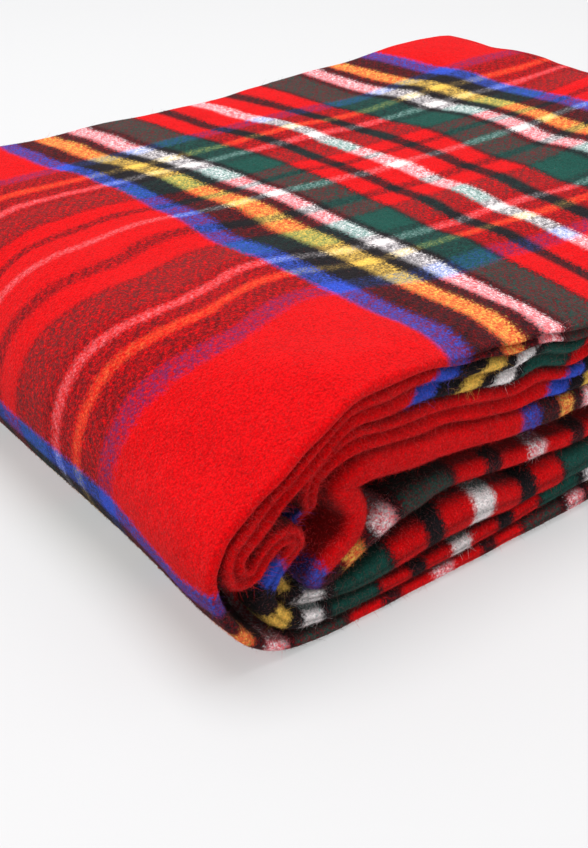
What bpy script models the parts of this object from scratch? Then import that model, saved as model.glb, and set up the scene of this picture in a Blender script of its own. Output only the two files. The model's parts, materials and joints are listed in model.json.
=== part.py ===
"""Camp blanket, folded and lying flat: one woven wool cloth folded to sixteen plies.

Frame: metres, +Z up, origin at the bottom centre of the folded blanket.
+X runs from the spine fold to the far end, -Y is the front, where the folded edges show.

Every node is a region of the one cloth between two creases. Seen from the spine end, the stack
has an upper and a lower half, and each half holds four leaves. A leaf is two plies that are
joined by a rounded crease along the front edge.
"""
import math

import bmesh
import bpy
from mathutils import Vector

# ---- driving sizes -------------------------------------------------------------------------
LENGTH = 0.430              # X, spine to far end
DEPTH = 0.325               # Y, front creases to back creases
PITCH = 0.0067              # centre to centre of two plies
CLOTH = 0.0058              # one ply of brushed wool, pressed by the stack above it
LEAVES = 4                  # leaves in each half of the stack
SEAM = 0.0004               # clearance where one region of the cloth meets the next
SETTLE = 0.12               # share of its height that the stack loses, all but at the far back corner

# how far each leaf's crease lies behind the frontmost one, outermost leaf first
FRONT_SETBACK_TOP = (0.0, 0.005, 0.002, 0.007)
FRONT_SETBACK_BASE = (0.002, 0.006, 0.001, 0.004)
EDGE_WAVE = 0.0015          # the creases wander by this much along X
EDGE_WAVE_LENGTH = 0.19
# how far each open edge lies inside the back and the far end, outermost leaf first
BACK_SETBACK = (0.003, 0.006, 0.006, 0.003)
END_SETBACK = (0.002, 0.007, 0.004, 0.009)

# ---- everything below follows from the sizes above ------------------------------------------
HALF_CLOTH = CLOTH / 2
HALF_STACK = (2 * LEAVES - 0.5) * PITCH + HALF_CLOTH
MIDDLE_Z = HALF_STACK
BEND = PITCH / 2                                    # centre-line radius of a two-ply crease
SPINE_X = -LENGTH / 2 + HALF_STACK                  # axis of the nested spine folds
END_MIDDLE = LEAVES * PITCH                         # height over the middle that the end fold wraps
END_X = LENGTH / 2 - (END_MIDDLE - PITCH / 2 + HALF_CLOTH)
FRONT_Y = -DEPTH / 2 + EDGE_WAVE
BACK_Y = DEPTH / 2
BACK_BEND_Y = BACK_Y - BEND - HALF_CLOTH            # axis of the back creases

# how finely each direction is divided
LEG_STEPS = 8
ARC_STEPS = 14
END_STEPS = 8
PLY_STEPS = 4
CREASE_STEPS = 6
ROUND_ANGLES = (30, 60, 80)                         # rounding of an open edge, in degrees

WOOL_RED = (0.56, 0.012, 0.022, 1.0)


def clear_scene():
    for old in list(bpy.data.objects):
        bpy.data.objects.remove(old, do_unlink=True)


def wool(name):
    material = bpy.data.materials.new(name)
    material.use_nodes = True
    shader = material.node_tree.nodes["Principled BSDF"]
    shader.inputs["Base Color"].default_value = WOOL_RED
    shader.inputs["Roughness"].default_value = 0.95
    return material


# ---- the cloth's section across the front-to-back direction ----------------------------------
# A ribbon is a list of (y, n, normal y, normal n, share of the full thickness). n is the
# distance from the middle of the stack.

def edge_rounding(y, n, side):
    """Extra ribbon points that round off an open back edge; side is the way the normal points."""
    points = []
    for angle in ROUND_ANGLES:
        reach = HALF_CLOTH * math.sin(math.radians(angle))
        share = math.cos(math.radians(angle))
        points.append((y + reach, n, 0.0, side, share))
    return points


def ply(y_from, y_to, n, side):
    points = []
    for step in range(PLY_STEPS + 1):
        y = y_from + (y_to - y_from) * step / PLY_STEPS
        points.append((y, n, 0.0, side, 1.0))
    return points


def crease(y, n, radius, towards):
    """Half circle from the upper ply, round the front (towards = -1) or back (+1), to the lower."""
    points = []
    for step in range(1, CREASE_STEPS):
        angle = math.pi * step / CREASE_STEPS
        along = towards * math.sin(angle)
        across = math.cos(angle)
        points.append((y + radius * along, n + radius * across, along, across, 1.0))
    return points


def leaf_ribbon(leaf, front_y):
    """Two plies and the front crease that joins them; outer leaves have the larger n."""
    n_middle = (2 * (LEAVES - leaf) - 1) * PITCH
    n_outer = n_middle + BEND
    n_inner = n_middle - BEND
    crease_y = front_y + BEND + HALF_CLOTH
    open_y = BACK_Y - BACK_SETBACK[leaf] - HALF_CLOTH
    seam_y = BACK_BEND_Y - SEAM
    outer_is_open = leaf % 2 == 0
    outer_y = open_y if outer_is_open else seam_y
    inner_y = seam_y if outer_is_open else open_y
    ribbon = []
    if outer_is_open:
        ribbon += reversed(edge_rounding(outer_y, n_outer, 1.0))
    ribbon += ply(outer_y, crease_y, n_outer, 1.0)
    ribbon += crease(crease_y, n_middle, BEND, -1.0)
    ribbon += ply(crease_y, inner_y, n_inner, -1.0)
    if not outer_is_open:
        ribbon += edge_rounding(inner_y, n_inner, -1.0)
    return ribbon


def back_ribbon(pair):
    """The back crease that joins leaf 2*pair to the leaf inside it."""
    n_middle = (2 * (LEAVES - 2 * pair) - 2) * PITCH
    ribbon = [(BACK_BEND_Y, n_middle + BEND, 0.0, 1.0, 1.0)]
    ribbon += crease(BACK_BEND_Y, n_middle, BEND, 1.0)
    ribbon.append((BACK_BEND_Y, n_middle - BEND, 0.0, -1.0, 1.0))
    return ribbon


# ---- the four legs of the cloth's path along X ------------------------------------------------

def top_leg(x, n):
    return x, MIDDLE_Z + n


def base_leg(x, n):
    return x, MIDDLE_Z - n


def spine_arc(angle, n):
    """angle runs from -90 degrees at the base half to +90 at the top half."""
    return SPINE_X - n * math.cos(angle), MIDDLE_Z + n * math.sin(angle)


def end_arc(angle, n):
    """n over END_MIDDLE is the radius; angle runs from +90 degrees (outer leaf) to -90 (inner)."""
    radius = n - END_MIDDLE
    return END_X + radius * math.cos(angle), MIDDLE_Z + END_MIDDLE + radius * math.sin(angle)


def front_of(leaf, leg, station):
    """Y of a leaf's crease, so that it runs on without a step from leg to leg."""
    top = FRONT_SETBACK_TOP[leaf]
    if leg is top_leg:
        setback = top
    elif leg is base_leg:
        setback = FRONT_SETBACK_BASE[leaf]
    elif leg is spine_arc:
        share = (1 + math.sin(station)) / 2
        setback = FRONT_SETBACK_BASE[leaf] * (1 - share) + top * share
    else:
        share = (1 + math.sin(station)) / 2
        setback = FRONT_SETBACK_TOP[LEAVES - 1 - leaf] * (1 - share) + top * share
    if leg is spine_arc:
        x = SPINE_X
    elif leg is end_arc:
        x = END_X
    else:
        x = station
    return FRONT_Y + setback + EDGE_WAVE * math.sin(2 * math.pi * x / EDGE_WAVE_LENGTH)


def settle(x, y, z):
    """The lower half is pressed evenly; the upper one is highest at its far back corner."""
    along = min(max((x + LENGTH / 2) / LENGTH, 0.0), 1.0)
    across = min(max((y + DEPTH / 2) / DEPTH, 0.0), 1.0)
    upper = max(z - MIDDLE_Z, 0.0)
    return z - SETTLE * (z - 2 * upper * along * across)


# ---- solids ---------------------------------------------------------------------------------

def sweep(name, ribbon_at, leg, stations):
    """One closed solid: the ribbon carried along a leg. A station is (place, thickness share)."""
    mesh = bmesh.new()
    rows = []
    for place, thinning in stations:
        row = []
        for y, n, normal_y, normal_n, share in ribbon_at(place):
            pair = []
            for side in (1, -1):
                offset = side * HALF_CLOTH * share * thinning
                point_y = y + normal_y * offset
                x, z = leg(place, n + normal_n * offset)
                pair.append(mesh.verts.new(Vector((x, point_y, settle(x, point_y, z)))))
            row.append(pair)
        rows.append(row)
    for row, following in zip(rows, rows[1:]):
        for here, after, here_next, after_next in zip(row, row[1:], following, following[1:]):
            mesh.faces.new((here[0], after[0], after_next[0], here_next[0]))
            mesh.faces.new((here[1], here_next[1], after_next[1], after[1]))
        for end in (0, -1):
            mesh.faces.new((row[end][0], following[end][0], following[end][1], row[end][1]))
    for row in (rows[0], rows[-1]):
        for here, after in zip(row, row[1:]):
            mesh.faces.new((here[0], here[1], after[1], after[0]))
    bmesh.ops.recalc_face_normals(mesh, faces=mesh.faces)
    for face in mesh.faces:
        face.smooth = True
    data = bpy.data.meshes.new(name)
    mesh.to_mesh(data)
    mesh.free()
    data.materials.append(wool(name))
    piece = bpy.data.objects.new(name, data)
    bpy.context.scene.collection.objects.link(piece)
    return piece


def even_stations(start, stop, steps):
    return [(start + (stop - start) * step / steps, 1.0) for step in range(steps + 1)]


def base_stations(leaf):
    """The base half's far end is an open edge, so its last stations round it off."""
    stop = LENGTH / 2 - END_SETBACK[leaf] - HALF_CLOTH
    stations = even_stations(SPINE_X + SEAM, stop, LEG_STEPS)
    for angle in ROUND_ANGLES:
        reach = HALF_CLOTH * math.sin(math.radians(angle))
        stations.append((stop + reach, math.cos(math.radians(angle))))
    return stations


def leaf_sweep(name, leaf, leg, stations):
    def ribbon_at(place):
        return leaf_ribbon(leaf, front_of(leaf, leg, place))
    return sweep(name, ribbon_at, leg, stations)


def back_sweep(name, pair, leg, stations):
    def ribbon_at(place):
        return back_ribbon(pair)
    return sweep(name, ribbon_at, leg, stations)


def build_halves():
    straight = even_stations(SPINE_X + SEAM, END_X - SEAM, LEG_STEPS)
    for leaf in range(LEAVES):
        leaf_sweep(f"top_leaf_{leaf + 1}", leaf, top_leg, straight)
        leaf_sweep(f"base_leaf_{leaf + 1}", leaf, base_leg, base_stations(leaf))
    for pair, place in enumerate(("outer", "inner")):
        back_sweep(f"top_back_crease_{place}", pair, top_leg, straight)
        back_sweep(f"base_back_crease_{place}", pair, base_leg, base_stations(2 * pair))


def build_spine():
    turn = even_stations(-math.pi / 2, math.pi / 2, ARC_STEPS)
    for leaf in range(LEAVES):
        leaf_sweep(f"spine_fold_{leaf + 1}", leaf, spine_arc, turn)
    for pair, place in enumerate(("outer", "inner")):
        back_sweep(f"spine_back_crease_{place}", pair, spine_arc, turn)


def build_end_fold():
    """The far end of the top half: the outer two leaves turn back into the inner two."""
    turn = even_stations(math.pi / 2, -math.pi / 2, END_STEPS)
    leaf_sweep("end_fold_outer", 0, end_arc, turn)
    leaf_sweep("end_fold_inner", 1, end_arc, turn)
    back_sweep("end_back_crease", 0, end_arc, turn)


clear_scene()
build_halves()
build_spine()
build_end_fold()
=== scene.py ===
"""The looks of the camp blanket: a brushed wool tartan throw, folded to sixteen plies.

The cloth is one sheet folded four plies by four. It is built here as six pieces of that sheet:
four leaf strips, which run from the upper half's far end round the spine and along the lower
half, and the two turns at the upper half's far end. A leaf is two plies joined by a crease along
the front. Every point of the cloth also carries its place on the flat blanket, and the tartan is
woven from that place, so its stripes follow the cloth through the folds. Loose fibres of the nap
stand off the leaves.

A place on the flat blanket is (p, q): p runs along its length, from the middle of the top ply's
white stripe towards the spine, and q runs across its width.
"""
import json
import math
from collections import namedtuple

import bpy
import numpy as np
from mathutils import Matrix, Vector


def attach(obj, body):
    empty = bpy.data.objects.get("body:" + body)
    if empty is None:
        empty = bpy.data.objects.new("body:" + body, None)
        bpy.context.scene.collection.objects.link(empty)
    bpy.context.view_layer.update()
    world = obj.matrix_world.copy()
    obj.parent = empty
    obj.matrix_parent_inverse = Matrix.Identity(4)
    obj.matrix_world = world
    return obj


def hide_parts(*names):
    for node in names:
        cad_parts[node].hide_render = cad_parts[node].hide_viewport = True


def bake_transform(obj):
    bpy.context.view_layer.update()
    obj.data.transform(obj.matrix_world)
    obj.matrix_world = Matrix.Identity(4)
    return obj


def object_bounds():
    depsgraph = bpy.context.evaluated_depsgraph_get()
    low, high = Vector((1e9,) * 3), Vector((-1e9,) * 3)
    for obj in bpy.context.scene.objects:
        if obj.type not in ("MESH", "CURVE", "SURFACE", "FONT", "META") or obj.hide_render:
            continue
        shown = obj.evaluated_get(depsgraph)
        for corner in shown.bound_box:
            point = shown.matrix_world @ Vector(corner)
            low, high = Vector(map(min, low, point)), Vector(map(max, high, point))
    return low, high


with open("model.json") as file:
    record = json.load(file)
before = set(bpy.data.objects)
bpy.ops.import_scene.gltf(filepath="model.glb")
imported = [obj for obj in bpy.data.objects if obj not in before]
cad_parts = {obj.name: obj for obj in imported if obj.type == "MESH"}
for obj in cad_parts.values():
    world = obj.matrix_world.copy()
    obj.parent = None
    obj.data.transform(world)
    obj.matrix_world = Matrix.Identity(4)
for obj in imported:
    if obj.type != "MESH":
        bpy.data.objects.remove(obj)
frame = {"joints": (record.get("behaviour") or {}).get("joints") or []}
CAD_LOW, CAD_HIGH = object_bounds()

# ---- the stack, from the frame -----------------------------------------------
LEAVES = 4
END_LEAVES = 2                      # the outermost ones, which the turn at the far end joins to the others
SPINE = frame["joints"][0]["pos_m"]
HALF_STACK = SPINE[0] - CAD_LOW.x
LENGTH = CAD_HIGH.x - CAD_LOW.x
DEPTH = CAD_HIGH.y - CAD_LOW.y
CAD_CLOTH = 0.0058                  # one ply in the CAD
PITCH = (HALF_STACK - CAD_CLOTH / 2) / (2 * LEAVES - 0.5)
SETTLE = 0.12                       # share of its height that the stack loses, all but at the far corner
END_MIDDLE = LEAVES * PITCH         # height over the middle that the turn at the far end wraps
END_X = CAD_HIGH.x - (LEAVES - 0.5) * PITCH - CAD_CLOTH / 2
BACK_BEND_Y = CAD_HIGH.y - (PITCH + CAD_CLOTH) / 2      # axis of the back creases
BACK_REACH = BACK_BEND_Y - CAD_LOW.y

# ---- the cloth ---------------------------------------------------------------
WOOL = 0.0062                       # one ply with its nap
PLY_SHARE = 0.47                    # half of a ply's thickness, as a share of half a leaf's
GAP_SHARE = 0.52                    # a ply's distance from its leaf's middle, as a share of half a leaf's
HALF_LEAF = PITCH / 2 + WOOL / 2
CREASE_LENGTH = math.pi * HALF_LEAF * GAP_SHARE     # of a ply's middle, round the front crease

# how far each open edge lies inside the back and the far end, outermost leaf first
BACK_SETBACK = (0.003, 0.006, 0.006, 0.003)
END_SETBACK = (0.002, 0.007, 0.004, 0.009)
FLAT_SETBACK = (0.0020, 0.0045, 0.0030, 0.0035)     # of the front creases, outermost leaf first

# Near the spine the leaves don't lie flat: they slip, buckle and roll along the front. These are
# the middle lines of the leaves there, from the upper half round the spine to the lower half, as
# (x, z, half of the leaf's thickness, how far the crease lies behind the front).
FRONT_LINES = (
    ((0.060, 0.0875, 0.0050, 0.0015), (-0.040, 0.0850, 0.0038, 0.0020), (-0.075, 0.0885, 0.0030, 0.0025),
     (-0.105, 0.0930, 0.0024, 0.0030), (-0.135, 0.0945, 0.0022, 0.0030), (-0.155, 0.0930, 0.0022, 0.0030),
     (-0.170, 0.0870, 0.0022, 0.0030), (-0.182, 0.0785, 0.0022, 0.0030), (-0.196, 0.0678, 0.0022, 0.0030),
     (-0.2090, 0.0580, 0.0022, 0.0030), (-0.2145, 0.0480, 0.0022, 0.0025), (-0.2135, 0.0380, 0.0022, 0.0020),
     (-0.2085, 0.0260, 0.0022, 0.0020), (-0.2000, 0.0135, 0.0022, 0.0020), (-0.1880, 0.0055, 0.0022, 0.0015),
     (-0.170, 0.0026, 0.0022, 0.0010), (-0.100, 0.0030, 0.0026, 0.0005), (-0.030, 0.0045, 0.0042, 0.0010),
     (0.060, 0.0060, 0.0060, 0.0015)),
    ((0.060, 0.0765, 0.0060, 0.0045), (-0.045, 0.0758, 0.0052, 0.0030), (-0.076, 0.0788, 0.0060, 0.0025),
     (-0.109, 0.0840, 0.0066, 0.0020), (-0.135, 0.0858, 0.0062, 0.0020), (-0.153, 0.0855, 0.0054, 0.0020),
     (-0.166, 0.0810, 0.0050, 0.0020), (-0.176, 0.0735, 0.0048, 0.0020), (-0.186, 0.0650, 0.0050, 0.0015),
     (-0.197, 0.0575, 0.0052, 0.0010), (-0.2055, 0.0500, 0.0052, 0.0005), (-0.2045, 0.0420, 0.0048, 0.0005),
     (-0.1985, 0.0404, 0.0046, 0.0005), (-0.1945, 0.0460, 0.0040, 0.0010), (-0.1895, 0.0508, 0.0038, 0.0010),
     (-0.1835, 0.0505, 0.0038, 0.0015), (-0.1800, 0.0460, 0.0038, 0.0020), (-0.1830, 0.0385, 0.0040, 0.0040),
     (-0.1875, 0.0300, 0.0046, 0.0060), (-0.1890, 0.0210, 0.0044, 0.0060), (-0.1830, 0.0120, 0.0038, 0.0045),
     (-0.170, 0.0085, 0.0032, 0.0030), (-0.100, 0.0090, 0.0034, 0.0020), (-0.030, 0.0130, 0.0044, 0.0030),
     (0.060, 0.0165, 0.0060, 0.0045)),
    ((0.060, 0.0655, 0.0062, 0.0030), (-0.045, 0.0642, 0.0060, 0.0020), (-0.075, 0.0660, 0.0062, 0.0020),
     (-0.105, 0.0710, 0.0060, 0.0020), (-0.135, 0.0737, 0.0056, 0.0020), (-0.152, 0.0755, 0.0052, 0.0020),
     (-0.164, 0.0735, 0.0046, 0.0025), (-0.1715, 0.0680, 0.0040, 0.0030), (-0.1735, 0.0610, 0.0034, 0.0030),
     (-0.1715, 0.0550, 0.0030, 0.0050), (-0.1725, 0.0480, 0.0030, 0.0100), (-0.1770, 0.0400, 0.0032, 0.0130),
     (-0.1805, 0.0310, 0.0032, 0.0130), (-0.1805, 0.0220, 0.0032, 0.0110), (-0.1745, 0.0155, 0.0030, 0.0090),
     (-0.162, 0.0140, 0.0032, 0.0060), (-0.146, 0.0155, 0.0050, 0.0030), (-0.122, 0.0210, 0.0076, 0.0015),
     (-0.095, 0.0232, 0.0084, 0.0005), (-0.070, 0.0200, 0.0070, 0.0015), (-0.055, 0.0215, 0.0078, 0.0010),
     (-0.025, 0.0225, 0.0066, 0.0010), (0.060, 0.0270, 0.0062, 0.0010)),
    ((0.060, 0.0550, 0.0062, 0.0025), (-0.045, 0.0530, 0.0052, 0.0020), (-0.075, 0.0545, 0.0056, 0.0015),
     (-0.095, 0.0570, 0.0064, 0.0015), (-0.115, 0.0590, 0.0068, 0.0015), (-0.135, 0.0615, 0.0066, 0.0015),
     (-0.150, 0.0635, 0.0062, 0.0015), (-0.1580, 0.0595, 0.0056, 0.0025), (-0.1550, 0.0525, 0.0054, 0.0020),
     (-0.1525, 0.0455, 0.0054, 0.0015), (-0.1560, 0.0375, 0.0052, 0.0015), (-0.1650, 0.0318, 0.0050, 0.0015),
     (-0.1715, 0.0270, 0.0040, 0.0025), (-0.1670, 0.0220, 0.0036, 0.0050), (-0.1570, 0.0230, 0.0044, 0.0065),
     (-0.1465, 0.0285, 0.0060, 0.0060), (-0.1350, 0.0345, 0.0064, 0.0055), (-0.122, 0.0385, 0.0056, 0.0050),
     (-0.100, 0.0405, 0.0042, 0.0045), (-0.075, 0.0378, 0.0038, 0.0035), (-0.045, 0.0350, 0.0042, 0.0035),
     (0.060, 0.0380, 0.0062, 0.0040)),
)
FRONT_REACH = (-0.148, -0.085)      # Y where the front lines hold fully, and where the flat stack takes over
FRONT_FADE = (-0.020, 0.055)        # X where they start to fade out, and where they have
JOIN_X = -0.10                      # X where the flat legs end and the way round the spine starts
SHOULDER = 0.0026                   # how far the cloth stands above its front line, a little way behind it
SHOULDER_REACH = 0.022              # how far behind it
LOWER_TRAVEL = (0.40, 0.60)         # share of its way where a leaf leaves the upper half for the lower
PINCH = (0.0030, 0.0036, 0.0042, 0.0008)    # how deep the gap between two plies sinks into their crease
PINCH_WIDTH = 0.36                  # of that gap, as a share of half the leaf's thickness
PINCH_FADE = (-0.118, -0.085)       # X over which the outermost leaf's gap opens
# The shade below is painted into the cloth's colour: it darkens the creases, the gap between plies and the
# cloth just behind the front.
SHADE_REACH = (0.012, 0.035)        # how far behind the creases the leaves' shade starts to fade and ends
SHADE_CORNER = 5                    # the larger, the later on its turn a crease goes into that shade
GAP_SHADE = 0.75                    # shade in the gap between a leaf's two plies
GAP_SHADE_WIDTH = 0.20
HIDDEN_SETBACK = (0.005, 0.014)     # creases that lie this far behind the front one are in the shade too
HIDDEN_SHADE = 0.6
SLIP = (0.0, 0.017, 0.016, 0.0)     # how far the inner ply has slipped towards the far end
PARTING = 0.0003                    # the innermost leaf keeps this far from the plane where the halves part

# Waves that crumple the stack: (axis that moves, height, wavelength, seed, stretch along x, y and z)
CRUMPLE = 0.0007                    # height of the small creases
FRONT_CRUMPLE = 0.0010              # and of those in the folded edges at the front
WAVE_SPREAD = (0.7, 1.6)            # shortest and longest in a ripple, as shares of its wavelength
STACK_WAVES = (
    (0, 0.0012, 0.11, 3, (1, 1, 1)),
    (1, 0.0012, 0.10, 4, (1, 1, 1)),
    (0, CRUMPLE / 2, 0.018, 7, (1, 1, 1)),
    (1, CRUMPLE / 2, 0.018, 8, (1, 1, 1)),
)
TOP_WAVES = (
    (2, 0.0013, 0.12, 5, (1, 1, 0.3)),
    (2, CRUMPLE, 0.032, 6, (1, 1, 0.5)),
)
FRONT_WAVE_IN = (1, FRONT_CRUMPLE, 0.024, 9, (1, 0.5, 1))
FRONT_WAVE_UP = (2, FRONT_CRUMPLE, 0.026, 10, (1, 0.5, 0.6))
FRONT_WAVE_LEAST = 0.35             # share of FRONT_WAVE_IN that is left down at the floor
STILL_MIDDLE = 0.012                # FRONT_WAVE_UP grows over this height off the middle plane
FRONT_WAVE_FADE = (-0.150, -0.085)  # Y over which the front's own waves fade

FAR_HUMP = 0.0065                   # how high the far back corner stands up
FAR_HUMP_MIDDLE = (0.165, 0.150)    # the middle of that hump and its reach, along x and y
FAR_HUMP_REACH = (0.055, 0.065)
FAR_BULGE = 0.010                   # how far the far end bulges outwards
FAR_BULGE_X = (0.03, 0.20)          # where the bulge grows, and where it fades towards the back
FAR_BULGE_Y = (0.07, 0.16)
FAR_BULGE_LIFT = 0.45               # how much of it goes upwards as well

# ---- the loose fibres --------------------------------------------------------
FIBRE_LENGTH = 0.0045
FIBRE_LENGTHS = (0.45, 1.5)         # least and most, as shares of that
FIBRE_LIFT = (0.12, 0.75)           # slope off the cloth
FIBRE_CURL = 0.6                    # most curl to either side
TIP_CURL = 1.6                      # how strongly the outer half bends with its curl
TIP_LIFT = 0.5                      # share of its slope that the outer half keeps
TIP_DROP = 0.15                     # and what comes off that
FIBRE_RADIUS = 0.00006
FIBRE_SIDES = 3
FIBRE_RINGS = 3
FIBRE_POINTS = FIBRE_SIDES * FIBRE_RINGS
FIBRE_TAPER = (1.0, 0.8, 0.25)      # radius at the root, the middle and the tip
FIBRE_ROOT = 0.0004                 # how deep a fibre starts in the cloth
PALEST_FIBRE = 0.20                 # largest share of pale red that a fibre's colour may hold
# how densely the fibres stand on the creases, on the top ply and just behind the creases
CREASE_FIBRES = 1.4
TOP_FIBRES = 1.0
EDGE_FIBRES = 0.6
EDGE_REACH = 0.010                  # how far behind a crease
CORNER_REACH = 0.13                 # they stand denser this near to the front corner of the spine
FAR_SHARE = 0.6                     # how dense they are far from it
CORNER_SHARE = 3.0                  # and how much denser they are at the corner
NAPS = (2, 1, 1, 1)                 # pieces of loose nap on each leaf, outermost first
FIBRES = (16500, 15000, 15000, 15000)   # fibres in each of them

# ---- the tartan --------------------------------------------------------------
UNIT = 0.115                        # from the middle of the white stripe to the middle of the blue one
HALF_SETT = 1.66 * UNIT             # from the middle of the white stripe to the middle of the red field
WHITE_Y = -0.004                    # where the middle of the white stripe lies on the top ply
THREAD = 0.0015                     # from one thread of the twill to the next
SOFT_EDGE = 0.0120                  # in units, half the width over which one band turns into the next
WEFT_COVER = 0.016                  # in units, how far red and black nap hides the pale weft stripes' edges
WARP_SHARE = 0.75                   # how much of the surface the warp's yarns take
PURE = (0.0, 0.5, 0.5, 0.12)        # how much more of it they take at a leaf's crease, outermost leaf first
# Known places along the flat blanket, as (x, z, p) on each leaf's front line: where a stripe of the
# tartan passes. The middles of the white stripes are at whole multiples of twice HALF_SETT.
SETT_LENGTH = 2 * HALF_SETT
KNOWN_PLACES = (
    ((0.009, 0.087, 0.0), (-0.061, 0.088, 0.664 * UNIT), (-0.108, 0.093, UNIT),
     (-0.2130, 0.0360, SETT_LENGTH - UNIT), (-0.112, 0.003, SETT_LENGTH)),
    ((0.006, 0.076, 0.0), (-0.109, 0.084, UNIT),
     (-0.1850, 0.0350, SETT_LENGTH - UNIT), (-0.100, 0.009, SETT_LENGTH)),
    ((-0.040, 0.064, SETT_LENGTH + UNIT),
     (-0.1745, 0.0500, 2 * SETT_LENGTH - UNIT), (-0.090, 0.023, 2 * SETT_LENGTH)),
    ((-0.068, 0.054, SETT_LENGTH + UNIT),
     (-0.1715, 0.0270, 2 * SETT_LENGTH - UNIT), (-0.058, 0.036, 2 * SETT_LENGTH)),
)
END_P = 0.155                       # from the white stripe on the top ply to the turn at the far end
# how far the top ply's stripes lie off their straight lines
WARP_BOW = 0.020                    # towards the spine, at the back
WARP_BOW_Y = (0.02, 0.16)
WEFT_FRONT = 0.010                  # towards the back, in front of the middle
WEFT_BULGE = 0.015                  # and more round this X
WEFT_BULGE_X = -0.122
WEFT_BULGE_REACH = 0.034
WEFT_SIDE = 0.009                   # and more on the spine's turn
WEFT_SIDE_X = (0.16, 0.20)
WEFT_BACK = 0.008                   # towards the front, behind the middle
WEFT_FADE_Y = (0.0, 0.06)
RED = (0.60, 0.0012, 0.0030)
BLUE = (0.028, 0.070, 0.48)
BLACK = (0.008, 0.007, 0.009)
GREEN = (0.007, 0.062, 0.048)
YELLOW = (0.82, 0.50, 0.09)
WHITE = (0.82, 0.76, 0.76)
PALE_FIBRE = (0.95, 0.25, 0.25)
# where each band starts, in units from the middle of the white stripe, and its colour
SETT = (
    (0.0, WHITE), (0.044, RED), (0.176, BLACK), (0.253, RED), (0.374, BLACK), (0.396, GREEN), (0.582, BLACK),
    (0.626, WHITE), (0.703, BLACK), (0.769, YELLOW), (0.846, BLACK), (0.956, BLUE), (1.044, RED),
)

# ---- the wool's surface: scales of its noise, and how strongly each shows ----
STRAY_SCALE = 800                   # threads that the nap drags over their neighbours
STRAY = 0.0110                      # width of the band that they reach
WANDER_SCALE = 16                   # slow wander of the stripes
WANDER = 0.006
FLECK_SCALE = 800                   # warp and weft showing in turn
MOTTLE = 2.7
TWILL = 0.05
TANGLED = 0.76                      # share of the yarns that are tangled in the nap
GRAIN_SCALE = 1150                  # light and dark of the felted surface
GRAIN = (0.57, 1.43)
PATCH_SCALE = 60                    # and of broad patches
PATCH = 0.24
OPEN_LIGHT = 1.08                   # painted light outside the grooves, which brightens the colour
# painted shade that darkens the colour in the grooves
GROOVE_SHADE = 0.82
NAP_SCALE = 900                     # bumps of the nap
TUFT_SCALE = 240
TUFTS = 0.9
NAP_HEIGHT = 0.0015

# ---- the studio --------------------------------------------------------------
FLOOR_HALF = 6.0
FLOOR_DROP = 0.0004                 # the floor lies this far under the blanket
FLOOR_COLOUR = (0.36, 0.36, 0.365)
FLOOR_GLOW = 0.37                   # its own light, which keeps it pale round the blanket
WORLD_STRENGTH = 0.88
KEY_PLACE = (-0.25, 0.15, 2.2)
KEY_TARGET = (0, 0, 0.05)
KEY_SIZE = 1.5
KEY_POWER = 40
CAMERA_PLACE = (-0.381, -0.420, 0.281)
CAMERA_DOWN = 29.9                  # degrees below level
CAMERA_TURN = 37.5                  # degrees from +Y towards +X
SENSOR_WIDTH = 36.0
LENS = 50.94


# ---- small helpers -----------------------------------------------------------

def smooth(value, start, end):
    """0 at start, 1 at end, with no corner at either."""
    t = np.clip((value - start) / (end - start), 0.0, 1.0)
    return t * t * (3 - 2 * t)


def ripple(points, wavelength, seed, waves=14):
    """A smooth uneven field between about -1 and 1: a sum of plane waves in seeded directions."""
    rng = np.random.default_rng(seed)
    total = np.zeros(len(points))
    for _ in range(waves):
        direction = rng.normal(size=3)
        direction *= 2 * math.pi / (wavelength * rng.uniform(*WAVE_SPREAD) * np.linalg.norm(direction))
        total += np.sin(points @ direction + rng.uniform(0, 2 * math.pi))
    return total / math.sqrt(waves)


def settled_height(x, y, n):
    """Height of a place that lies n over the middle plane of the unpressed stack."""
    along = np.clip((x - CAD_LOW.x) / LENGTH, 0.0, 1.0)
    across = np.clip((y - CAD_LOW.y) / DEPTH, 0.0, 1.0)
    z = HALF_STACK + n
    return z - SETTLE * (z - 2 * np.maximum(n, 0.0) * along * across)


def add_wave(moved, points, wave, weight):
    axis, height, wavelength, seed, stretch = wave
    moved[:, axis] += height * ripple(points * stretch, wavelength, seed) * weight


def drape(points):
    """Carries every point of the stack through one uneven field, so that neighbours stay clear."""
    x, y, z = points.T
    height = np.clip(z / CAD_HIGH.z, 0.0, 1.0)
    over_middle = np.clip((z - SPINE[2]) / (CAD_HIGH.z - SPINE[2]), 0.0, 1.0)
    moved = points.copy()
    for wave in STACK_WAVES:
        add_wave(moved, points, wave, height)
    for wave in TOP_WAVES:
        add_wave(moved, points, wave, over_middle)
    # the folded edges at the front are crumpled more; the middle plane, where the halves part, isn't
    front = 1 - smooth(y, *FRONT_WAVE_FADE)
    off_middle = np.clip(np.abs(z - SPINE[2]) / STILL_MIDDLE, 0.0, 1.0) * height
    add_wave(moved, points, FRONT_WAVE_IN, front * (FRONT_WAVE_LEAST + (1 - FRONT_WAVE_LEAST) * height))
    add_wave(moved, points, FRONT_WAVE_UP, front * off_middle)
    # the far corner stands up in a soft hump, and the far end bulges outwards in front of it
    hump_x = (x - FAR_HUMP_MIDDLE[0]) / FAR_HUMP_REACH[0]
    hump_y = (y - FAR_HUMP_MIDDLE[1]) / FAR_HUMP_REACH[1]
    moved[:, 2] += FAR_HUMP * np.exp(-hump_x ** 2 - hump_y ** 2) * over_middle
    bulge = FAR_BULGE * smooth(x, *FAR_BULGE_X) * (1 - smooth(y, *FAR_BULGE_Y))
    moved[:, 0] += bulge
    moved[:, 2] += FAR_BULGE_LIFT * bulge * over_middle
    return moved


# ---- paths along the blanket's length ----------------------------------------
# A path is rows of (x, z, half thickness, setback). Seen from the front, its outward normal is on
# the right of its travel.

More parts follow.
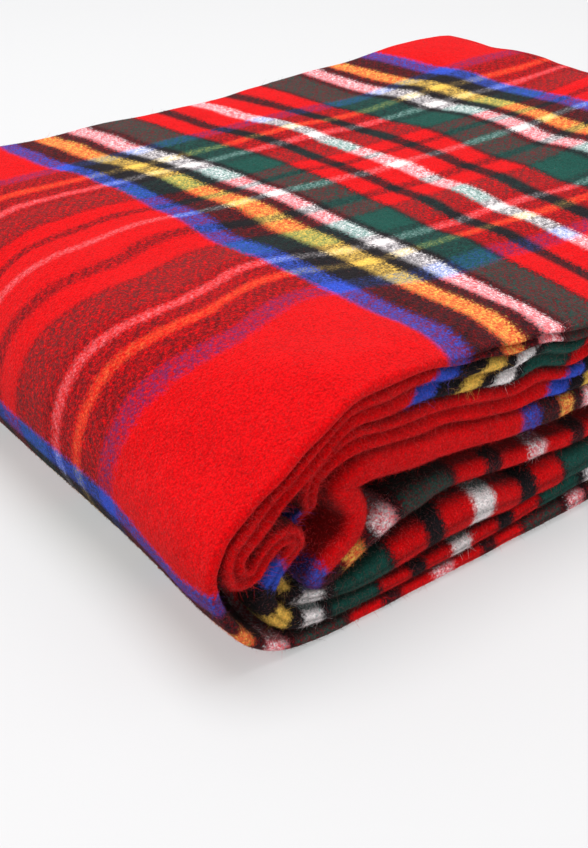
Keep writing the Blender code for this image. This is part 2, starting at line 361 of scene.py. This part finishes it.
def curve_through(points, steps=24):
    """A centripetal Catmull-Rom curve through the points."""
    points = np.array(points, float)
    points = np.vstack((2 * points[0] - points[1], points, 2 * points[-1] - points[-2]))
    pieces = []
    for a, b, c, d in zip(points, points[1:], points[2:], points[3:]):
        t = [0.0]
        for here, after in ((a, b), (b, c), (c, d)):
            t.append(t[-1] + max(np.linalg.norm((after - here)[:2]), 1e-9) ** 0.5)
        u = np.linspace(t[1], t[2], steps, endpoint=False)[:, None]
        ab = (t[1] - u) / (t[1] - t[0]) * a + (u - t[0]) / (t[1] - t[0]) * b
        bc = (t[2] - u) / (t[2] - t[1]) * b + (u - t[1]) / (t[2] - t[1]) * c
        cd = (t[3] - u) / (t[3] - t[2]) * c + (u - t[2]) / (t[3] - t[2]) * d
        abc = (t[2] - u) / (t[2] - t[0]) * ab + (u - t[0]) / (t[2] - t[0]) * bc
        bcd = (t[3] - u) / (t[3] - t[1]) * bc + (u - t[1]) / (t[3] - t[1]) * cd
        pieces.append((t[2] - u) / (t[2] - t[1]) * abc + (u - t[1]) / (t[2] - t[1]) * bcd)
    pieces.append(points[-2][None])
    return np.vstack(pieces)


def length_along(path):
    steps = np.linalg.norm(np.diff(path[:, :2], axis=0), axis=1)
    return np.concatenate(([0.0], np.cumsum(steps)))


def resample(path, count):
    """The path with count evenly spaced rows."""
    along = length_along(path)
    wanted = np.linspace(0, along[-1], count)
    return np.column_stack([np.interp(wanted, along, column) for column in path.T])


def normals_of(path):
    tangent = np.gradient(path[:, :2], axis=0)
    tangent /= np.linalg.norm(tangent, axis=1)[:, None]
    return np.column_stack((tangent[:, 1], -tangent[:, 0]))


TOP_STEPS, SPINE_STEPS, BASE_STEPS = 84, 124, 90
END_STEPS = 36
TURN_STEPS = 60                     # of a half circle, before it is resampled


def base_end_x(leaf):
    return CAD_HIGH.x - END_SETBACK[leaf] - WOOL / 2


def flat_path(leaf):
    """The leaf's path in the plain stack, before it settles: z is measured from the middle plane."""
    n = (2 * (LEAVES - leaf) - 1) * PITCH
    top_x = np.linspace(END_X, JOIN_X, TOP_STEPS + 1)
    base_x = np.linspace(JOIN_X, base_end_x(leaf), BASE_STEPS + 1)
    turn = np.linspace(math.pi / 2, -math.pi / 2, TURN_STEPS)
    spine = np.column_stack((SPINE[0] - n * np.cos(turn), n * np.sin(turn)))
    spine = np.vstack(((JOIN_X, n), spine, (JOIN_X, -n)))
    spine = resample(spine, SPINE_STEPS + 1)
    top = np.column_stack((top_x, np.full_like(top_x, n)))
    base = np.column_stack((base_x, np.full_like(base_x, -n)))
    path = np.vstack((top[:-1], spine, base[1:]))
    extra = np.tile((HALF_LEAF, FLAT_SETBACK[leaf]), (len(path), 1))
    return np.column_stack((path, extra))


def front_path(leaf):
    """The leaf's path along the front, with its rows at the same places as flat_path's."""
    line = curve_through(FRONT_LINES[leaf])
    crossings = np.nonzero(np.diff(np.sign(line[:, 0] - JOIN_X)))[0]
    first, last = crossings[0] + 1, crossings[-1] + 1
    top_x = np.linspace(END_X, JOIN_X, TOP_STEPS + 1)
    base_x = np.linspace(JOIN_X, base_end_x(leaf), BASE_STEPS + 1)
    top = np.column_stack([np.interp(-top_x, -line[:first + 1, 0], c) for c in line[:first + 1].T])
    base = np.column_stack([np.interp(base_x, line[last - 1:, 0], c) for c in line[last - 1:].T])
    top[:, 0] = top_x
    base[:, 0] = base_x
    spine = resample(np.vstack((top[-1:], line[first:last], base[:1])), SPINE_STEPS + 1)
    return np.vstack((top[:-1], spine, base[1:]))


def end_path(leaf):
    """The turn at the upper half's far end, from its lower leg up to its upper one."""
    radius = (2 * (LEAVES - leaf) - 1) * PITCH - END_MIDDLE
    turn = np.linspace(-math.pi / 2, math.pi / 2, END_STEPS + 1)
    path = np.column_stack((END_X + radius * np.cos(turn), END_MIDDLE + radius * np.sin(turn)))
    extra = np.tile((HALF_LEAF, FLAT_SETBACK[leaf]), (len(path), 1))
    return np.column_stack((path, extra))


def end_place(leaf):
    """p of each leaf of the upper half where the turn at the far end starts."""
    if leaf < END_LEAVES:
        return -END_P
    radius = (2 * (LEAVES - leaf) - 1) * PITCH
    return END_P + math.pi * (END_MIDDLE - radius)


def places(path, front, leaf):
    """p at every row: by length, between the places that are known."""
    along = length_along(path)
    rows, known = [0], [end_place(leaf)]
    for x, z, p in KNOWN_PLACES[leaf]:
        rows.append(int(np.argmin(np.hypot(front[:, 0] - x, front[:, 1] - z))))
        known.append(p)
    p = np.interp(along, along[rows], known)
    beyond = along > along[rows[-1]]
    p[beyond] = known[-1] + along[beyond] - along[rows[-1]]
    return p


def warp_shift(y):
    """How far the top ply's warp stripes lie off their straight lines."""
    return -WARP_BOW * smooth(y, *WARP_BOW_Y)


def weft_shift(x, y):
    """How far the top ply's weft stripes lie off theirs."""
    near = 1 - smooth(y, *WEFT_FADE_Y)
    bulge = np.exp(-((x - WEFT_BULGE_X) / WEFT_BULGE_REACH) ** 2)
    side = smooth(-x, *WEFT_SIDE_X)
    return near * (WEFT_FRONT + WEFT_BULGE * bulge + WEFT_SIDE * side) - (1 - near) * WEFT_BACK


# ---- the ribbon across the blanket's width -----------------------------------
# part is "ply", "crease" or "back". distance is how far behind the front crease's middle the column
# lies, and side goes from +1 on the outer ply to -1 on the inner one. turn is the angle round a
# crease, (along_y, away) is the normal, away from the middle plane, share is the share of the full
# thickness, and length is measured along the ribbon, from the crease.

Column = namedtuple("Column", "part distance side turn along_y away share length")

CREASE_STEPS = 16
BACK_STEPS = 8
OPEN_ANGLES = (25, 50, 70, 82)      # rounding of an open edge, in degrees
# first and largest step of a ply's columns
TOP_SPACING = (0.0026, 0.0036)
OUTER_SPACING = (0.0022, 0.008)
INNER_SPACING = (0.0024, 0.010)
SPACING_GROWTH = 1.06


def spaced(span, fine, coarse):
    """Distances from 0 to span: fine steps at first, which grow to coarse ones."""
    out = [0.0]
    step = fine
    while out[-1] + step < span:
        out.append(out[-1] + step)
        step = min(step * SPACING_GROWTH, coarse)
    out.append(span)
    return out


def ply_column(distance, side, share=1.0):
    length = distance if side > 0 else -CREASE_LENGTH - distance
    return Column("ply", distance, side, 0.0, 0.0, side, share, length)


def open_edge(span, side):
    """The rounded rim of an open edge, from the ply outwards."""
    columns = []
    for angle in OPEN_ANGLES:
        turn = math.radians(angle)
        columns.append(ply_column(span + WOOL / 2 * math.sin(turn), side, math.cos(turn)))
    return columns


def front_crease():
    columns = []
    for step in range(1, CREASE_STEPS):
        turn = math.pi * step / CREASE_STEPS
        length = -CREASE_LENGTH * step / CREASE_STEPS
        side, forwards = math.cos(turn), -math.sin(turn)
        columns.append(Column("crease", 0.0, side, turn, forwards, side, 1.0, length))
    return columns


def back_crease():
    columns = []
    for step in range(1, BACK_STEPS + 1):
        turn = math.pi * step / BACK_STEPS
        length = -CREASE_LENGTH - BACK_REACH - PITCH / 2 * turn
        columns.append(Column("back", BACK_REACH, -1.0, turn, math.sin(turn), -math.cos(turn), 1.0, length))
    return columns


def ribbon(leaf):
    """Columns from the outer ply's back edge, round the front crease, to the inner ply's back."""
    outer_open = leaf % 2 == 0
    open_reach = CAD_HIGH.y - BACK_SETBACK[leaf] - WOOL / 2 - CAD_LOW.y
    outer_reach = open_reach if outer_open else BACK_REACH
    inner_reach = BACK_REACH if outer_open else open_reach
    spacing = OUTER_SPACING if leaf else TOP_SPACING
    columns = list(reversed(open_edge(outer_reach, 1.0))) if outer_open else []
    columns += [ply_column(distance, 1.0) for distance in reversed(spaced(outer_reach, *spacing))]
    columns += front_crease()
    columns += [ply_column(distance, -1.0) for distance in spaced(inner_reach, *INNER_SPACING)]
    columns += back_crease() if outer_open else open_edge(inner_reach, -1.0)
    return columns


def ribbon_width(leaf):
    columns = ribbon(leaf)
    return columns[0].length - columns[-1].length


def q_of(leaf, length):
    """Place across the flat blanket, from the length along the ribbon."""
    front_q = CAD_LOW.y - WHITE_Y
    second_q = front_q - CREASE_LENGTH - BACK_REACH - math.pi * PITCH / 2
    if leaf == 0:
        return front_q + length
    if leaf == 1:
        return second_q - BACK_REACH + length
    if leaf == 2:
        return second_q - BACK_REACH - CREASE_LENGTH - length
    return front_q - CREASE_LENGTH - length


def painted_groove_shade_of(leaf, column, open_gap):
    """How much painted shade darkens a column for lying in the shade of its neighbours, from 0 to 1."""
    on_top = leaf == 0 and column.side > 0
    if column.part == "crease":
        beside = 0.0 if on_top else abs(column.side) ** SHADE_CORNER
        between = GAP_SHADE * math.exp(-(column.side / GAP_SHADE_WIDTH) ** 2)
        return np.maximum(beside, between * open_gap if leaf < LEAVES - 1 else 0.0)
    if column.part == "back" or on_top:
        return 0.0
    return 1.0 - smooth(column.distance, *SHADE_REACH)


# ---- the cloth ---------------------------------------------------------------

class Strip:
    """One leaf's way along the blanket: its rows in the flat stack and along the crumpled front."""

    def __init__(self, leaf, flat, front, p_flat, p_front, has_both_halves):
        self.leaf = leaf
        self.flat = flat
        self.front = front
        self.flat_normal = normals_of(flat)
        self.front_normal = normals_of(front)
        self.p_flat = p_flat
        self.p_front = p_front
        self.rows = len(flat)
        self.fade = 1 - smooth(flat[:, 0], *FRONT_FADE)
        self.open_gap = smooth(flat[:, 0], *PINCH_FADE) if leaf == 0 else np.ones(self.rows)
        self.lower = np.zeros(self.rows)        # from 0 along the upper half to 1 along the lower one
        self.thin = np.ones(self.rows)          # the open far end is rounded off
        self.tail_x = np.zeros(self.rows)
        if has_both_halves:
            self.lower = smooth(np.linspace(0, 1, self.rows), *LOWER_TRAVEL)
            turn = np.radians(OPEN_ANGLES)
            self.thin[-len(turn):] = np.cos(turn)
            self.tail_x[-len(turn):] = WOOL / 2 * np.sin(turn)

    def front_share(self, column):
        """How far each row of a column follows the front lines instead of the flat stack."""
        y = CAD_LOW.y + HALF_LEAF + column.distance
        return (1 - smooth(y, *FRONT_REACH)) * self.fade

    def points(self, column, skin):
        """A column's points on the outer (skin = 1) or the inner (-1) side of the cloth."""
        crumpled = self.front_share(column)
        half = self.flat[:, 2] * (1 - crumpled) + self.front[:, 2] * crumpled
        setback = self.flat[:, 3] * (1 - crumpled) + self.front[:, 3] * crumpled
        crease_y = CAD_LOW.y + setback + half
        gap = half * GAP_SHARE
        thick = half * PLY_SHARE * column.share * self.thin * skin
        if column.part == "back":
            y = BACK_BEND_Y + (PITCH / 2 + thick) * column.along_y
            offset = -PITCH + PITCH / 2 * math.cos(column.turn) + column.away * thick
        elif column.part == "crease":
            sink = PINCH[self.leaf] * math.exp(-(column.side / PINCH_WIDTH) ** 2)
            sink = sink * crumpled * (1 - self.lower) * self.open_gap
            y = crease_y + column.along_y * (gap + thick) + sink
            offset = column.side * (gap + thick)
        else:
            y = crease_y + column.distance * (CAD_HIGH.y - crease_y) / DEPTH
            offset = column.side * gap + column.away * thick
        raised = SHOULDER * smooth(y, CAD_LOW.y, CAD_LOW.y + SHOULDER_REACH)
        raised = raised * crumpled * (1 - self.lower)
        flat_place = self.flat[:, :2] + self.flat_normal * offset[:, None]
        front_place = self.front[:, :2] + self.front_normal * (offset + raised)[:, None]
        flat_z = settled_height(flat_place[:, 0], y, flat_place[:, 1])
        x = flat_place[:, 0] * (1 - crumpled) + front_place[:, 0] * crumpled + self.tail_x
        z = flat_z * (1 - crumpled) + front_place[:, 1] * crumpled
        return np.column_stack((x, y, z))

    def weave(self, column, y):
        """p and q of a column's points, how purely the warp shows, and how much painted shade darkens them
        for lying in shade.
        """
        crumpled = self.front_share(column)
        inner = 0.5 - 0.5 * column.side
        slip = SLIP[self.leaf] * inner * (1 - self.lower)
        p = self.p_flat * (1 - crumpled) + self.p_front * crumpled - slip
        q = np.full(self.rows, q_of(self.leaf, column.length))
        if self.leaf == 0:
            p = p + warp_shift(y)
            q = q - weft_shift(self.flat[:, 0], y) * (1 - inner)
        bend = math.sqrt(max(0.0, 1 - column.side ** 2))
        pure = np.full(self.rows, PURE[self.leaf] * math.sqrt(bend))
        # painted shade on the creases that lie behind the front one
        hidden = HIDDEN_SHADE * crumpled * smooth(self.front[:, 3], *HIDDEN_SETBACK)
        groove = np.maximum(hidden, painted_groove_shade_of(self.leaf, column, self.open_gap))
        return np.column_stack((p, q, pure, groove))


def clear_of_parting(points, upper, lower):
    """Keeps what turns with the upper half above the plane where the halves part, and the rest below."""
    z = points[:, 2]
    z[upper] = np.maximum(z[upper], SPINE[2] + PARTING)
    z[lower] = np.minimum(z[lower], SPINE[2] - PARTING)


def grid_faces(rows, columns):
    """Quads of both skins and of the rim that joins them. The rim's quads come last."""
    row, column = np.meshgrid(np.arange(rows - 1), np.arange(columns - 1), indexing="ij")
    count = rows * columns
    first = (row * columns + column).ravel()
    outside = np.column_stack((first, first + columns, first + columns + 1, first + 1))
    inside = outside[:, ::-1] + count
    edge = np.concatenate((
        np.arange(columns - 1),
        np.arange(rows - 1) * columns + columns - 1,
        (rows - 1) * columns + np.arange(columns - 1, 0, -1),
        np.arange(rows - 1, 0, -1) * columns,
    ))
    after = np.roll(edge, -1)
    rim = np.column_stack((edge, after, after + count, edge + count))
    return np.concatenate((outside, inside, rim)), len(rim)


def new_piece(name, points, faces, material):
    mesh = bpy.data.meshes.new(name)
    mesh.from_pydata(points.tolist(), [], faces.tolist())
    mesh.materials.append(material)
    mesh.shade_smooth()
    piece = bpy.data.objects.new(name, mesh)
    bpy.context.scene.collection.objects.link(piece)
    return piece


def store(piece, name, values):
    """Keeps a number or a vector for every point of the piece, for its material."""
    kind, field = ("FLOAT_VECTOR", "vector") if values.ndim > 1 else ("FLOAT", "value")
    layer = piece.data.attributes.new(name, kind, "POINT")
    layer.data.foreach_set(field, values.astype(np.float32).ravel())


def cloth_piece(name, strip, material):
    """One closed piece of the sheet, and the grids of points and places of its outer side."""
    columns = ribbon(strip.leaf)
    grid_size = (strip.rows, len(columns), 3)
    shape, weave = [], []
    for skin in (1.0, -1.0):
        grid = [strip.points(column, skin) for column in columns]
        shape.append(np.stack(grid, axis=1))
        in_grid = [strip.weave(column, points[:, 1]) for column, points in zip(columns, grid)]
        weave.append(np.stack(in_grid, axis=1))
    points = drape(np.concatenate(shape).reshape(-1, 3))
    weave = np.concatenate(weave).reshape(-1, 4)
    points[:, 2] = np.maximum(points[:, 2], 0.0)
    if strip.leaf == LEAVES - 1:
        row = np.tile(np.repeat(np.arange(strip.rows), len(columns)), 2)
        clear_of_parting(points, row < TOP_STEPS, row > TOP_STEPS + SPINE_STEPS)
    faces, in_rim = grid_faces(strip.rows, len(columns))
    piece = new_piece(name, points, faces, material)
    store(piece, "flat_place", weave[:, :3])
    # painted shade: how much the material darkens each point's colour
    store(piece, "painted_groove_shade", weave[:, 3])
    piece.data.polygons.foreach_set("use_smooth", np.arange(len(faces)) < len(faces) - in_rim)
    piece.data.update()
    outer = strip.rows * len(columns)
    return piece, points[:outer].reshape(grid_size), weave[:outer, :3].reshape(grid_size)


# ---- loose fibres of the nap -------------------------------------------------

def pick_places(rng, points, weight, count):
    """Seeded random places on a grid of points, more of them where the weight is larger."""
    across = points[1:, :-1] - points[:-1, :-1]
    along = points[:-1, 1:] - points[:-1, :-1]
    area = np.linalg.norm(np.cross(across, along), axis=2) * weight[:-1, :-1]
    chance = area.ravel() / area.sum()
    row, column = np.unravel_index(rng.choice(chance.size, count, p=chance), area.shape)
    return row, column, rng.random((count, 1)), rng.random((count, 1))


def between_corners(grid, row, column, u, v):
    low = grid[row, column] * (1 - v) + grid[row, column + 1] * v
    high = grid[row + 1, column] * (1 - v) + grid[row + 1, column + 1] * v
    return low * (1 - u) + high * u


def unit(vectors):
    return vectors / (np.linalg.norm(vectors, axis=1)[:, None] + 1e-12)


def fibre_points(rng, root, normal):
    """Rings of points along fine curled fibres, which start a little way inside the cloth."""
    count = len(root)
    lie = rng.normal(size=(count, 3))
    lie = unit(lie - normal * np.sum(lie * normal, axis=1)[:, None])
    turn = np.cross(normal, lie)
    length = FIBRE_LENGTH * rng.uniform(*FIBRE_LENGTHS, (count, 1))
    lift = rng.uniform(*FIBRE_LIFT, (count, 1))
    curl = rng.uniform(-FIBRE_CURL, FIBRE_CURL, (count, 1))
    middle = root + length * 0.5 * (lie + normal * lift)
    tip = middle + length * 0.5 * (lie + turn * curl * TIP_CURL + normal * (lift * TIP_LIFT - TIP_DROP))
    points = []
    for centre, taper in zip((root - normal * FIBRE_ROOT, middle, tip), FIBRE_TAPER):
        for side in range(FIBRE_SIDES):
            angle = 2 * math.pi * side / FIBRE_SIDES
            outwards = turn * math.cos(angle) + normal * math.sin(angle)
            points.append(centre + FIBRE_RADIUS * taper * outwards)
    return np.stack(points, axis=1).reshape(-1, 3)


def fibre_faces(count):
    first = np.arange(count)[:, None] * FIBRE_POINTS
    faces = []
    for ring in range(FIBRE_RINGS - 1):
        here = first + ring * FIBRE_SIDES
        for side in range(FIBRE_SIDES):
            after = (side + 1) % FIBRE_SIDES
            faces.append(np.hstack((here + side, here + after, here + FIBRE_SIDES + after,
                                    here + FIBRE_SIDES + side)))
    return np.concatenate(faces)


def nap_piece(name, leaf, seed, outside, place, material):
    """Loose fibres that stand off a leaf, each a thin three-sided tube of two lengths."""
    rng = np.random.default_rng(seed)
    count = FIBRES[leaf]
    spot = pick_places(rng, outside, fibre_weight(leaf, outside), count)
    root = between_corners(outside, *spot)
    row, column = spot[:2]
    across = outside[row + 1, column] - outside[row, column]
    along = outside[row, column + 1] - outside[row, column]
    points = fibre_points(rng, root, unit(np.cross(along, across)))
    points[:, 2] = np.maximum(points[:, 2], 0.0)
    if leaf == LEAVES - 1:
        above = np.repeat(root[:, 2] > SPINE[2], FIBRE_POINTS)
        clear_of_parting(points, above, ~above)
    piece = new_piece(name, points, fibre_faces(count), material)
    paleness = rng.random(count) ** 2 * PALEST_FIBRE
    store(piece, "flat_place", np.repeat(between_corners(place, *spot), FIBRE_POINTS, axis=0))
    store(piece, "paleness", np.repeat(paleness, FIBRE_POINTS))
    return piece


def fibre_weight(leaf, points):
    """Fibres show on the outermost ply and on the creases, most where spine and front meet."""
    corner = np.array((CAD_LOW.x, CAD_LOW.y, SPINE[2]))
    near = np.exp(-(np.linalg.norm(points - corner, axis=2) / CORNER_REACH) ** 2)
    weight = np.zeros(points.shape[:2])
    for number, column in enumerate(ribbon(leaf)):
        if column.part == "crease":
            weight[:, number] = CREASE_FIBRES
        elif column.part == "ply" and leaf == 0 and column.side > 0:
            weight[:, number] = TOP_FIBRES
        elif column.part == "ply" and column.distance < EDGE_REACH:
            weight[:, number] = EDGE_FIBRES
    return weight * (FAR_SHARE + CORNER_SHARE * near)


# ---- materials ---------------------------------------------------------------

class Graph:
    """Short calls for building a node material."""

    def __init__(self, name):
        self.material = bpy.data.materials.new(name)
        self.material.use_nodes = True
        self.tree = self.material.node_tree
        self.shader = self.tree.nodes["Principled BSDF"]

    def node(self, kind, inputs=None, **settings):
        node = self.tree.nodes.new(kind)
        for key, value in settings.items():
            setattr(node, key, value)
        for key, value in (inputs or {}).items():
            self.feed(node.inputs[key], value)
        return node

    def feed(self, socket, value):
        if isinstance(value, bpy.types.NodeSocket):
            self.tree.links.new(value, socket)
        else:
            socket.default_value = value

    def math(self, operation, *values):
        node = self.node("ShaderNodeMath", dict(enumerate(values)), operation=operation)
        return node.outputs[0]

    def blend(self, share, first, second, mode="MIX"):
        node = self.node("ShaderNodeMix", data_type="RGBA", blend_type=mode)
        for index, value in ((0, share), (6, first), (7, second)):
            self.feed(node.inputs[index], value)
        return node.outputs[2]

    def attribute(self, name, output):
        return self.node("ShaderNodeAttribute", attribute_name=name).outputs[output]

    def set_shader(self, values):
        for name, value in values.items():
            self.shader.inputs[name].default_value = value

    def noise(self, vector, scale, detail=2.0, roughness=0.5):
        node = self.node("ShaderNodeTexNoise", {"Vector": vector, "Scale": scale, "Detail": detail,
                                                 "Roughness": roughness})
        return node.outputs["Fac"]


def stripes(graph, place, cover=0.0):
    """The sett's colour at a place, mirrored about the white stripe and about the red field.

    cover is how far the nap of its neighbours lies over each edge of a pale stripe."""
    distance = graph.math("PINGPONG", place, HALF_SETT)
    share = graph.math("DIVIDE", distance, HALF_SETT)
    ramp = graph.node("ShaderNodeValToRGB", {"Fac": share})
    stops = [(0.0, SETT[0][1])]
    for (start, colour), (_, colour_before) in zip(SETT[1:], SETT):
        pale, pale_before = colour in (WHITE, YELLOW), colour_before in (WHITE, YELLOW)
        middle = start + cover * (pale - pale_before)
        stops.append((middle - SOFT_EDGE, colour_before))
        stops.append((middle + SOFT_EDGE, colour))
    bands = ramp.color_ramp.elements
    while len(bands) < len(stops):
        bands.new(1.0)
    for band, (start, _) in zip(bands, stops):
        band.position = start * UNIT / HALF_SETT
    for band, (_, colour) in zip(bands, stops):
        band.color = (*colour, 1.0)
    return ramp.outputs["Color"]


def drifts(graph, flat, surface):
    """How far the nap drags the warp and the weft over their neighbours, each set its own way."""
    stray = graph.node("ShaderNodeTexNoise", {"Vector": surface, "Scale": STRAY_SCALE, "Detail": 5.0,
                                              "Roughness": 0.72}).outputs["Color"]
    stray_warp, stray_weft = graph.node("ShaderNodeSeparateColor", {0: stray}).outputs[:2]
    slow = graph.math("SUBTRACT", graph.noise(flat, WANDER_SCALE), 0.5)
    wander = graph.math("MULTIPLY", slow, WANDER)
    warp_drift = graph.math("MULTIPLY_ADD", graph.math("SUBTRACT", stray_warp, 0.5), STRAY, wander)
    weft_drift = graph.math("MULTIPLY_ADD", graph.math("SUBTRACT", stray_weft, 0.5), STRAY, wander)
    return warp_drift, weft_drift


def warp_share(graph, diagonal, pure, surface):
    """How much of the surface the warp takes at a point: the twill is nearly lost under the nap."""
    twill = graph.math("MULTIPLY", diagonal, TWILL)
    fleck = graph.math("SUBTRACT", graph.noise(surface, FLECK_SCALE, 4.0, 0.85), 0.5)
    mottle = graph.math("MULTIPLY", fleck, MOTTLE)
    share = graph.math("ADD", graph.math("ADD", twill, mottle), WARP_SHARE)
    return graph.node("ShaderNodeClamp", {"Value": graph.math("ADD", share, pure)}).outputs[0]


def woven_colour(graph, warp, weft, share):
    """Side by side the yarns' light adds up; tangled in the nap they shade one another."""
    beside = graph.blend(share, weft, warp)
    warp_part = graph.node("ShaderNodeGamma", {"Color": warp, "Gamma": share}).outputs[0]
    weft_share = graph.math("SUBTRACT", 1.0, share)
    weft_part = graph.node("ShaderNodeGamma", {"Color": weft, "Gamma": weft_share}).outputs[0]
    tangled = graph.blend(1.0, warp_part, weft_part, "MULTIPLY")
    return graph.blend(TANGLED, beside, tangled)


def felt_grain_and_painted_shade(graph, surface):
    """Light and dark flecks a millimetre across and broad patches, with painted shade darkening the grooves
    and painted light brightening the rest.
    """
    grain = graph.noise(surface, GRAIN_SCALE, 3.0, 0.75)
    level = graph.node("ShaderNodeMapRange", {"Value": grain, "From Min": 0.3, "From Max": 0.7,
                                              "To Min": GRAIN[0], "To Max": GRAIN[1]}).outputs[0]
    patch = graph.noise(surface, PATCH_SCALE)
    level = graph.math("MULTIPLY", level, graph.math("MULTIPLY_ADD", patch, PATCH, 1 - PATCH / 2))
    # painted shade and light: the colour darkens in the grooves and brightens outside them
    groove = graph.attribute("painted_groove_shade", "Fac")
    return graph.math("MULTIPLY", level, graph.math("MULTIPLY_ADD", groove, -GROOVE_SHADE, OPEN_LIGHT))


def nap_bump(graph, diagonal, surface):
    nap = graph.noise(surface, NAP_SCALE, 4.0, 0.65)
    tufts = graph.noise(surface, TUFT_SCALE)
    height = graph.math("MULTIPLY_ADD", tufts, TUFTS, nap)
    height = graph.math("MULTIPLY_ADD", diagonal, TWILL, height)
    bump = graph.node("ShaderNodeBump", {"Height": height, "Strength": 0.7, "Distance": NAP_HEIGHT})
    return bump.outputs[0]


def wool_material():
    graph = Graph("brushed_tartan_wool")
    place = graph.attribute("flat_place", "Vector")
    p, q, pure = graph.node("ShaderNodeSeparateXYZ", {0: place}).outputs
    flat = graph.node("ShaderNodeCombineXYZ", {0: p, 1: q}).outputs[0]
    surface = graph.node("ShaderNodeTexCoord").outputs["Object"]
    warp_drift, weft_drift = drifts(graph, flat, surface)
    warp = stripes(graph, graph.math("ADD", p, warp_drift))
    weft = stripes(graph, graph.math("ADD", q, weft_drift), WEFT_COVER)
    # two threads over, two under: the twill's diagonal
    phase = graph.math("MULTIPLY", graph.math("ADD", p, q), 2 * math.pi / (4 * THREAD))
    diagonal = graph.math("SINE", phase)
    woven = woven_colour(graph, warp, weft, warp_share(graph, diagonal, pure, surface))
    woven = graph.blend(graph.attribute("paleness", "Fac"), woven, (*PALE_FIBRE, 1.0))
    level = felt_grain_and_painted_shade(graph, surface)
    grey = graph.node("ShaderNodeCombineColor", {0: level, 1: level, 2: level}).outputs[0]
    graph.feed(graph.shader.inputs["Base Color"], graph.blend(1.0, woven, grey, "MULTIPLY"))
    graph.feed(graph.shader.inputs["Normal"], nap_bump(graph, diagonal, surface))
    graph.set_shader({"Roughness": 0.95, "Specular IOR Level": 0.05, "Sheen Weight": 0.05,
                      "Sheen Roughness": 0.5, "Sheen Tint": (1.0, 0.85, 0.85, 1.0)})
    return graph.material


# ---- pieces ------------------------------------------------------------------

def leaf_nodes(leaf, half):
    """The CAD nodes of a leaf in one half, with the back crease that it carries."""
    nodes = [f"{half}_fold_{leaf + 1}" if half == "spine" else f"{half}_leaf_{leaf + 1}"]
    if leaf % 2 == 0:
        nodes.append(f"{half}_back_crease_{'inner' if leaf else 'outer'}")
    return nodes


def add_blend(piece):
    """Bakes the piece's placement into its points."""
    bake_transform(piece)


def add_leaf(leaf, wool):
    flat, front = flat_path(leaf), front_path(leaf)
    p_flat, p_front = places(flat, front, leaf), places(front, front, leaf)
    strip = Strip(leaf, flat, front, p_flat, p_front, has_both_halves=True)
    piece, outside, place = cloth_piece(f"cloth_leaf_{leaf + 1}", strip, wool)
    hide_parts(*[node for half in ("top", "base", "spine") for node in leaf_nodes(leaf, half)])
    add_blend(piece)
    naps = [add_nap(leaf, number, outside, place, wool) for number in range(NAPS[leaf])]
    size = (round(ribbon_width(leaf), 3), round(length_along(flat)[-1], 3))


def add_nap(leaf, number, outside, place, wool):
    """One piece of loose fibres on a leaf; number tells the pieces of the same leaf apart."""
    seed = leaf + LEAVES * number
    fibres = nap_piece(f"nap_{leaf + 1}_{number + 1}", leaf, seed, outside, place, wool)
    add_blend(fibres)
    return fibres


def add_end(leaf, wool):
    """The turn at the upper half's far end that carries the outer or the inner of its two leaves."""
    where = ("outer", "inner")[leaf]
    path = end_path(leaf)
    along = length_along(path)
    p = -END_P - (along[-1] - along)
    strip = Strip(leaf, path, path, p, p, has_both_halves=False)
    piece = cloth_piece(f"cloth_end_{where}", strip, wool)[0]
    nodes = [f"end_fold_{where}"] + (["end_back_crease"] if leaf == 0 else [])
    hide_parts(*nodes)
    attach(piece, "top_half")
    size = (round(ribbon_width(leaf), 3), round(along[-1], 3))


# ---- surroundings ------------------------------------------------------------

def add_floor():
    half = FLOOR_HALF
    mesh = bpy.data.meshes.new("floor")
    corners = [(-half, -half, 0), (half, -half, 0), (half, half, 0), (-half, half, 0)]
    mesh.from_pydata(corners, [], [(0, 1, 2, 3)])
    graph = Graph("pale_floor")
    graph.set_shader({"Base Color": (*FLOOR_COLOUR, 1.0), "Emission Color": (1.0, 1.0, 1.0, 1.0),
                      "Emission Strength": FLOOR_GLOW, "Roughness": 0.9})
    mesh.materials.append(graph.material)
    floor = bpy.data.objects.new("floor", mesh)
    floor.location.z = -FLOOR_DROP
    bpy.context.scene.collection.objects.link(floor)


def add_light():
    lamp = bpy.data.lights.new("key", "AREA")
    lamp.shape = "DISK"
    lamp.size = KEY_SIZE
    lamp.energy = KEY_POWER
    light = bpy.data.objects.new("key", lamp)
    light.location = KEY_PLACE
    aim = Vector(KEY_TARGET) - Vector(KEY_PLACE)
    light.rotation_euler = aim.to_track_quat("-Z", "Y").to_euler()
    bpy.context.scene.collection.objects.link(light)


def add_world():
    world = bpy.data.worlds.new("studio")
    world.use_nodes = True
    background = world.node_tree.nodes["Background"]
    background.inputs["Color"].default_value = (1.0, 1.0, 1.0, 1.0)
    background.inputs["Strength"].default_value = WORLD_STRENGTH
    bpy.context.scene.world = world
    bpy.context.scene.view_settings.view_transform = "Standard"


def add_camera():
    data = bpy.data.cameras.new("camera")
    data.sensor_width = SENSOR_WIDTH
    data.lens = LENS
    data.clip_start = 0.01
    camera = bpy.data.objects.new("camera", data)
    camera.location = CAMERA_PLACE
    camera.rotation_euler = (math.radians(90 - CAMERA_DOWN), 0.0, math.radians(-CAMERA_TURN))
    bpy.context.scene.collection.objects.link(camera)
    bpy.context.scene.camera = camera


add_camera()
add_floor()
add_world()
add_light()
wool = wool_material()
for leaf in range(LEAVES):
    add_leaf(leaf, wool)
for leaf in range(END_LEAVES):
    add_end(leaf, wool)
